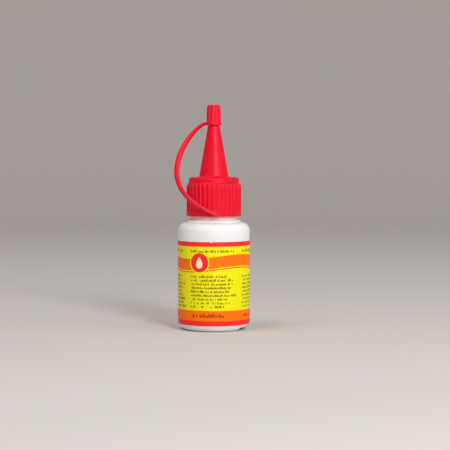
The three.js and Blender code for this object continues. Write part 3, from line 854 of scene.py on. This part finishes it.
def tip_surface():
    """Points of the tip cap, and its share of pale wear and painted highlight, on a grid of profile rows
    by columns.

    The rows go from the pin's end up into the socket, out over the rim and up to the crown.
    Above the band the radius is the larger of the profile and the flutes' crests. The crests are
    made a little paler, and the crown more, as wear and a painted highlight.
    """
    profile = rounded_profile(
        [
            (TIP_POLE_RADIUS, PIN_END, 0, 0.3),
            (PIN_RADIUS, PIN_END, 0.2, 1.5),
            (PIN_RADIUS, SOCKET_DEPTH, 0.2, 0.5),
            (SOCKET_RADIUS, SOCKET_DEPTH, 0.3, 2.0),
            (SOCKET_RADIUS, -RIM_DROP, 0.12, 0.3),
            (TIP_BAND_RADIUS, -RIM_DROP, 0.4, 0.4),
            (TIP_BAND_RADIUS, TIP_BAND_HEIGHT, 0.18, 0.2),
            (TIP_ROOT, TIP_BAND_HEIGHT + FLUTE_DEPTH, 0.15, 0.5),
            (TIP_ROOT, TIP_HEIGHT - TIP_TAPER_HEIGHT, 6.0, 0.5),
            (TIP_ROOT - TIP_TAPER, TIP_HEIGHT, 0.4, 0.3),
            (TIP_POLE_RADIUS, TIP_HEIGHT, 0, 0.3),
        ],
        closed=False,
    )
    azimuth = ribbed_turn(FLUTE_COUNT, FLUTE_COLUMNS)
    radius, height = profile[:, :1] + 0 * azimuth, profile[:, 1:] + 0 * azimuth
    outside = (np.arange(len(profile)) > profile[:, 0].argmax())[:, None]
    flutes = rib_height(azimuth, FLUTE_COUNT, TIP_BAND_RADIUS, FLUTE_CREST, FLUTE_FLANK)
    flutes = flutes * outside * (1 - smooth(FLUTE_FALL_START, FLUTE_FALL_END, height))
    radius = np.maximum(radius, np.minimum(radius, TIP_ROOT) + FLUTE_DEPTH * flutes)
    # Pale wear and painted highlight on the flutes' crests and, more strongly, round the crown.
    crown = outside * smooth(CROWN_WEAR_AND_HIGHLIGHT_START, CROWN_WEAR_AND_HIGHLIGHT_FULL, height)
    wear_and_highlight = FLUTE_WEAR_AND_HIGHLIGHT * flutes + CROWN_WEAR_AND_HIGHLIGHT * crown
    return round_grid(radius, height + TIP_RIM, azimuth + PHOTO_AZIMUTH + TIP_CLOCKING), wear_and_highlight


tip_points, tip_wear_and_highlight = tip_surface()
tip_poles = [(0, 0, (TIP_RIM + PIN_END) * MM), (0, 0, (TIP_RIM + TIP_HEIGHT) * MM)]
tip = skin("fluted_tip_cap", tip_points, tip_poles)
store(tip, "wear_and_highlight", np.append(tip_wear_and_highlight, [0, CROWN_WEAR_AND_HIGHLIGHT]))
tip.data.materials.append(closure_red)
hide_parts("tip_cap")
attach(tip, "tip")

# Strap: an oval red band, moulded with both caps and bent up into a loop when the tip cap is closed.
# It grows out of a lug on the front of the rim band, and turns over on its way to the tip cap.
STRAP_WIDTH = 2.5
STRAP_THICKNESS = 1.35
STRAP_TWIST = math.radians(158)
STRAP_SIDE_PULL = 33.2
STRAP_BACK_PULL = 1.2
STRAP_RISE_PULL = 12.0
STRAP_TIP_PULL = 4.6
STRAP_TIP_GAP = 0.3
STRAP_ROWS = 181
STRAP_COLUMNS = 40
STRAP_PATH_POINTS = 300
STRAP_HIGHLIGHT = 0.7
STRAP_HIGHLIGHT_EDGE = (-0.2, 1)
STRAP_HIGHLIGHT_START = (0.5, 1.5)
STRAP_HIGHLIGHT_FADE = (0.4, 0.75)
TIP_SINK = 0.5
LUG_START = math.radians(26)
LUG_END = math.radians(5)
LUG_TOE = 0.8
LUG_GAP = 0.3
LUG_SINK = 0.2
LUG_SINK_END = 1.6
LUG_TOE_SHARE = 0.05
LUG_FLARE = 0.15
LUG_FLARE_END = 1.1


def bezier(points, share):
    """Bezier curve: its control points summed with the binomial weights of the share along it."""
    degree = len(points) - 1
    weights = [math.comb(degree, k) * share**k * (1 - share) ** (degree - k) for k in range(degree + 1)]
    return np.stack(weights, 1) @ np.array(points, float)


def unit(vectors):
    """Vectors of length one."""
    return vectors / np.linalg.norm(vectors, axis=-1, keepdims=True)


def from_photo(points):
    """Points given right of the photograph's view, away from it and up, turned into the frame."""
    cos, sin = math.cos(PHOTO_AZIMUTH), math.sin(PHOTO_AZIMUTH)
    return np.array(points, float) @ np.array([[cos, sin, 0], [-sin, cos, 0], [0, 0, 1]])


def strap_path():
    """Middle line of the strap in millimetres over the cap's rim, and the run along it to each point.

    It is a short arc along the rim band, one cubic curve to the side of the tip cap's band, and a
    straight end sunk in that band. The arc is a quadratic curve, which moves out as the strap widens.
    """
    lug_face = BAND_RADIUS + LUG_GAP
    lug_radius = lug_face + STRAP_WIDTH / 2
    toe_radius = lug_face + LUG_TOE / 2
    half_lug = (LUG_START - LUG_END) / 2
    azimuths = np.array([LUG_START, LUG_END + half_lug, LUG_END])
    radii = np.array([toe_radius, (toe_radius + lug_radius) / 2 / math.cos(half_lug), lug_radius])
    lug = np.stack([radii * np.sin(azimuths), -radii * np.cos(azimuths), 0 * radii + BAND_HEIGHT / 2], 1)
    end = np.array([-TIP_BAND_RADIUS - STRAP_TIP_GAP, 0, TIP_RIM - CAP_RIM + TIP_BAND_HEIGHT / 2])
    sunk = end + [STRAP_TIP_GAP + TIP_SINK, 0, 0]
    root_pull = np.array([-STRAP_SIDE_PULL, STRAP_BACK_PULL, STRAP_RISE_PULL])
    tip_pull = np.array([-STRAP_TIP_PULL, 0, 0])
    share = np.linspace(0, 1, STRAP_PATH_POINTS)
    loop = bezier([lug[2], lug[2] + root_pull, end + tip_pull, end], share)
    path = np.concatenate([bezier(lug, share[:-1]), loop, [sunk]])
    steps = np.linalg.norm(np.diff(path, axis=0), axis=1)
    return path, np.concatenate([[0], np.cumsum(steps)])


def strap_surface():
    """Points of the strap, and its share of painted highlight: an oval carried along the strap's path.

    The section lies level on the lug and turns steadily along the loop, by nearly half a turn at
    the tip cap. Along the lug it swells out of the rim band by a smooth step. A painted highlight
    lies on the outer side of its lower half.
    """
    path, run = strap_path()
    lug_run, loop_end = run[STRAP_PATH_POINTS - 1], run[-2]
    gone = np.linspace(0, run[-1], STRAP_ROWS)
    middle = np.stack([np.interp(gone, run, path[:, k]) for k in range(3)], 1)
    ahead = unit(np.gradient(middle, axis=0))
    front = np.array([0, -1, 0])
    level = unit(front - (ahead @ front)[:, None] * ahead)
    on_loop = np.clip((gone - lug_run) / (loop_end - lug_run), 0, 1)
    tilt = (STRAP_TWIST * on_loop)[:, None]
    wide = level * np.cos(tilt) + np.cross(ahead, level) * np.sin(tilt)
    thick = np.cross(ahead, wide)
    turn = np.linspace(0, math.tau, STRAP_COLUMNS, endpoint=False)
    on_lug = (gone / lug_run)[:, None]
    half_width = (LUG_TOE + (STRAP_WIDTH - LUG_TOE) * np.clip(on_lug, 0, 1)) / 2
    joined = (LUG_GAP + LUG_SINK) * (1 - smooth(1, LUG_SINK_END, on_lug))
    inner = -half_width - joined
    grown = LUG_TOE_SHARE + (1 - LUG_TOE_SHARE) * smooth(0, 1, on_lug)
    across = inner + (half_width - inner) * grown * (1 + np.cos(turn)) / 2
    flare = 1 + LUG_FLARE * (1 - smooth(0, LUG_FLARE_END, on_lug))
    through = STRAP_THICKNESS / 2 * np.sin(turn) * flare
    points = middle[:, None] + across[..., None] * wide[:, None] + through[..., None] * thick[:, None]
    share = np.minimum(gone / loop_end, 1)[:, None]
    # Painted highlight along the strap's outer side, over the lower half of the loop.
    wear_and_highlight = STRAP_HIGHLIGHT * smooth(*STRAP_HIGHLIGHT_EDGE, np.cos(turn)) * smooth(*STRAP_HIGHLIGHT_START, on_lug)
    wear_and_highlight = wear_and_highlight * (1 - smooth(*STRAP_HIGHLIGHT_FADE, share))
    return MM * (from_photo(points) + [0, 0, CAP_RIM]), wear_and_highlight


strap_points, strap_wear_and_highlight = strap_surface()
strap = skin("looped_strap", strap_points, [strap_points[0].mean(0), strap_points[-1].mean(0)])
store(strap, "wear_and_highlight", np.append(strap_wear_and_highlight, [0, 0]))
strap.data.materials.append(closure_red)
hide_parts("tether_strap")
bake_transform(strap)

# Studio: a pale paper floor that curves up into a low wall all round, under a pale, even sky.
# A soft lamp above the camera's right is the main light, a wide weak one carries it round the right
# side, one overhead stands for the ceiling, and the sky is the light of the room.
SKY_GREY = (0.44, 0.42, 0.41, 1)
FLOOR_GREY = (0.65, 0.62, 0.60, 1)
FLOOR_RADIUS = 950
COVE_RADIUS = 650
COVE_COLUMNS = 144
PAPER_THICKNESS = 5
LAMP_DISTANCE = 1.0
KEY_AZIMUTH = math.radians(23)
KEY_ELEVATION = math.radians(23)
KEY_SIZE = 0.3
KEY_WATTS = 6.4
FILL_AZIMUTH = math.radians(66)
FILL_ELEVATION = math.radians(25)
FILL_SIZE = 0.8
FILL_WATTS = 1.4
TOP_AZIMUTH = math.radians(-50)
TOP_ELEVATION = math.radians(62)
TOP_SIZE = 0.6
TOP_WATTS = 2.3
OBJECT_MIDDLE = np.array([0, 0, 0.05])


def pale_floor():
    """Matte paper with a faint tooth."""
    material, tree, shader = new_material(
        "pale_floor", {"Base Color": FLOOR_GREY, "Roughness": 0.9, "Specular IOR Level": 0.1}
    )
    tooth = noise(tree, object_coordinates(tree), scale=900, detail=3)
    plug(tree, shader.inputs["Normal"], raised(tree, tooth, strength=0.1, distance=0.0001))
    return material


def paper_cove():
    """Paper on a grid of rings: level from the middle out, up a quarter circle and over its edge,
    then back to the middle on the upper side, one thickness in."""
    inner = FLOOR_RADIUS + COVE_RADIUS
    outer = inner + PAPER_THICKNESS
    section = rounded_profile(
        [
            (1, -PAPER_THICKNESS, 0, 400),
            (outer, -PAPER_THICKNESS, COVE_RADIUS + PAPER_THICKNESS, 100),
            (outer, COVE_RADIUS, 0, 5),
            (inner, COVE_RADIUS, 0, 100),
            (inner, 0, COVE_RADIUS, 400),
            (1, 0, 0, 400),
        ],
        closed=False,
    )
    azimuth = np.linspace(0, math.tau, COVE_COLUMNS, endpoint=False)
    grid = round_grid(section[:, :1], section[:, 1:] + 0 * azimuth, azimuth)
    return skin("paper_cove", grid, [(0, 0, -PAPER_THICKNESS * MM), (0, 0, 0)])


def aim(thing, place, direction):
    """Puts a lamp or camera at a place, looking along a direction with its top side up."""
    ahead = unit(np.array(direction, float))
    right = unit(np.cross(ahead, [0, 0, 1]))
    up = np.cross(right, ahead)
    turn = np.eye(4)
    turn[:3, :4] = np.stack([right, up, -ahead, np.array(place, float)], 1)
    thing.matrix_world = Matrix(turn.tolist())


def soft_lamp(name, azimuth, elevation, size, watts):
    """Round lamp that looks at the object from an azimuth right of the camera and an elevation."""
    light = bpy.data.lights.new(name, "AREA")
    light.shape = "DISK"
    light.size = size
    light.energy = watts
    lamp = bpy.data.objects.new(name, light)
    bpy.context.collection.objects.link(lamp)
    level = math.cos(elevation)
    offset = LAMP_DISTANCE * from_photo(
        [math.sin(azimuth) * level, -math.cos(azimuth) * level, math.sin(elevation)]
    )
    aim(lamp, OBJECT_MIDDLE + offset, -offset)


floor = paper_cove()
floor.data.materials.append(pale_floor())
world = bpy.data.worlds.new("sky")
world.use_nodes = True
world.node_tree.nodes["Background"].inputs["Color"].default_value = SKY_GREY
bpy.context.scene.world = world
soft_lamp("key", KEY_AZIMUTH, KEY_ELEVATION, KEY_SIZE, KEY_WATTS)
soft_lamp("fill", FILL_AZIMUTH, FILL_ELEVATION, FILL_SIZE, FILL_WATTS)
soft_lamp("top", TOP_AZIMUTH, TOP_ELEVATION, TOP_SIZE, TOP_WATTS)

# Camera: where the photograph was taken from, worked out from the ovals of the label's edges
# and the cap's rim. It stands level with the cone nozzle and looks slightly down.
CAMERA_RIGHT = 0.00494
CAMERA_BACK = 0.655
CAMERA_HEIGHT = 0.0775
CAMERA_TILT = math.radians(2.72)
CAMERA_LENS = 117.84
camera_data = bpy.data.cameras.new("camera")
camera_data.lens = CAMERA_LENS
camera = bpy.data.objects.new("camera", camera_data)
bpy.context.collection.objects.link(camera)
aim(
    camera,
    from_photo([CAMERA_RIGHT, -CAMERA_BACK, CAMERA_HEIGHT]),
    from_photo([0, math.cos(CAMERA_TILT), -math.sin(CAMERA_TILT)]),
)
bpy.context.scene.camera = camera
bpy.context.scene.view_settings.view_transform = "Standard"
